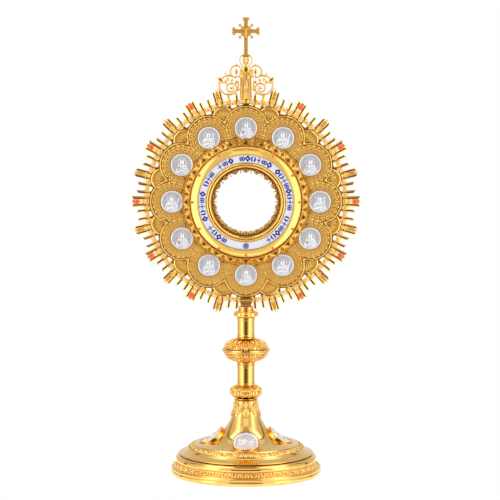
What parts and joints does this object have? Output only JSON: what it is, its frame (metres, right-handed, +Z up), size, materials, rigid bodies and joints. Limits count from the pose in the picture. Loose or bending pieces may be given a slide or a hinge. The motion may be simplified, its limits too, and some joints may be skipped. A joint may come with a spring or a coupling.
{
  "type": "monstrance",
  "caption": "Gilt altar monstrance: a rayed sunburst with relief medallions on a knopped stem and round foot, with a removable glazed luna.",
  "frame": {"origin": "centre of the foot's underside, on the surface that it stands on", "axes": "+Z up along the stem, -Y towards the people (the front), +X to the viewer's right"},
  "size_m": [0.3376, 0.2252, 0.6814],
  "materials": {
    "polished_gold": "polished gilt brass",
    "antique_gold": "gilt brass with darkened recesses",
    "silver": "silvered relief, satin",
    "enamel": "glossy white and blue enamel",
    "glass": "clear flat glass",
    "steel": "plain steel"
  },
  "bodies": {
    "root": {"foot_base_ring": "polished_gold", "foot_dome": "polished_gold", "leaf_collar": "polished_gold", "neck_ring": "polished_gold", "small_node": "polished_gold", "lower_column": "polished_gold", "lower_collar": "polished_gold", "knop_band": "polished_gold", "upper_collar": "polished_gold", "upper_column": "polished_gold", "capital": "polished_gold", "knop_lower_shell": "polished_gold", "knop_upper_shell": "polished_gold", "stem_head": "polished_gold", "ray_plate": "polished_gold", "outer_ring": "polished_gold", "inner_ring": "polished_gold", "luna_sleeve": "polished_gold", "crown_pedestal": "polished_gold", "statuette": "polished_gold", "halo": "polished_gold", "cross": "polished_gold", "scroll_left": "polished_gold", "scroll_right": "polished_gold", "foot_cover_plate": "antique_gold", "lobe_plate": "antique_gold", "gallery_collar": "antique_gold", "tie_rod": "steel", "tie_rod_washer": "steel", "tie_rod_nut": "steel", "lobe_medallion_01": "silver", "lobe_medallion_02": "silver", "lobe_medallion_03": "silver", "lobe_medallion_04": "silver", "lobe_medallion_05": "silver", "lobe_medallion_06": "silver", "lobe_medallion_07": "silver", "lobe_medallion_08": "silver", "lobe_medallion_09": "silver", "lobe_medallion_10": "silver", "lobe_medallion_11": "silver", "lobe_medallion_12": "silver", "foot_medallion_front": "silver", "foot_medallion_right": "silver", "foot_medallion_back": "silver", "foot_medallion_left": "silver", "enamel_ring": "enamel"},
    "luna": {"luna_case": "polished_gold", "crest_ring": "antique_gold", "front_glass": "glass", "front_glass_retainer": "polished_gold", "door_hinge_pin": "steel"},
    "luna_door": {"luna_door": "polished_gold", "rear_glass": "glass"},
    "door_latch": {"door_latch": "polished_gold"},
    "turn_button_upper": {"turn_button_upper": "polished_gold"},
    "turn_button_lower": {"turn_button_lower": "polished_gold"}
  },
  "joints": [
    {"name": "luna_slide", "type": "slide", "parent": "root", "child": "luna", "axis": [0, 1, 0], "range_m": [0, 0.06]},
    {"name": "luna_door_hinge", "type": "hinge", "parent": "luna", "child": "luna_door", "pos_m": [0.0518, 0.0092, 0.407], "axis": [0, 0, -1], "range_deg": [0, 110]},
    {"name": "door_latch_pivot", "type": "hinge", "parent": "luna", "child": "door_latch", "pos_m": [-0.054, 0.0094, 0.407], "axis": [0, 1, 0], "range_deg": [0, 90]},
    {"name": "turn_button_upper_pivot", "type": "hinge", "parent": "root", "child": "turn_button_upper", "pos_m": [0, 0.0075, 0.472], "axis": [0, 1, 0], "range_deg": [0, 90]},
    {"name": "turn_button_lower_pivot", "type": "hinge", "parent": "root", "child": "turn_button_lower", "pos_m": [0, 0.0075, 0.342], "axis": [0, 1, 0], "range_deg": [0, 90]}
  ]
}
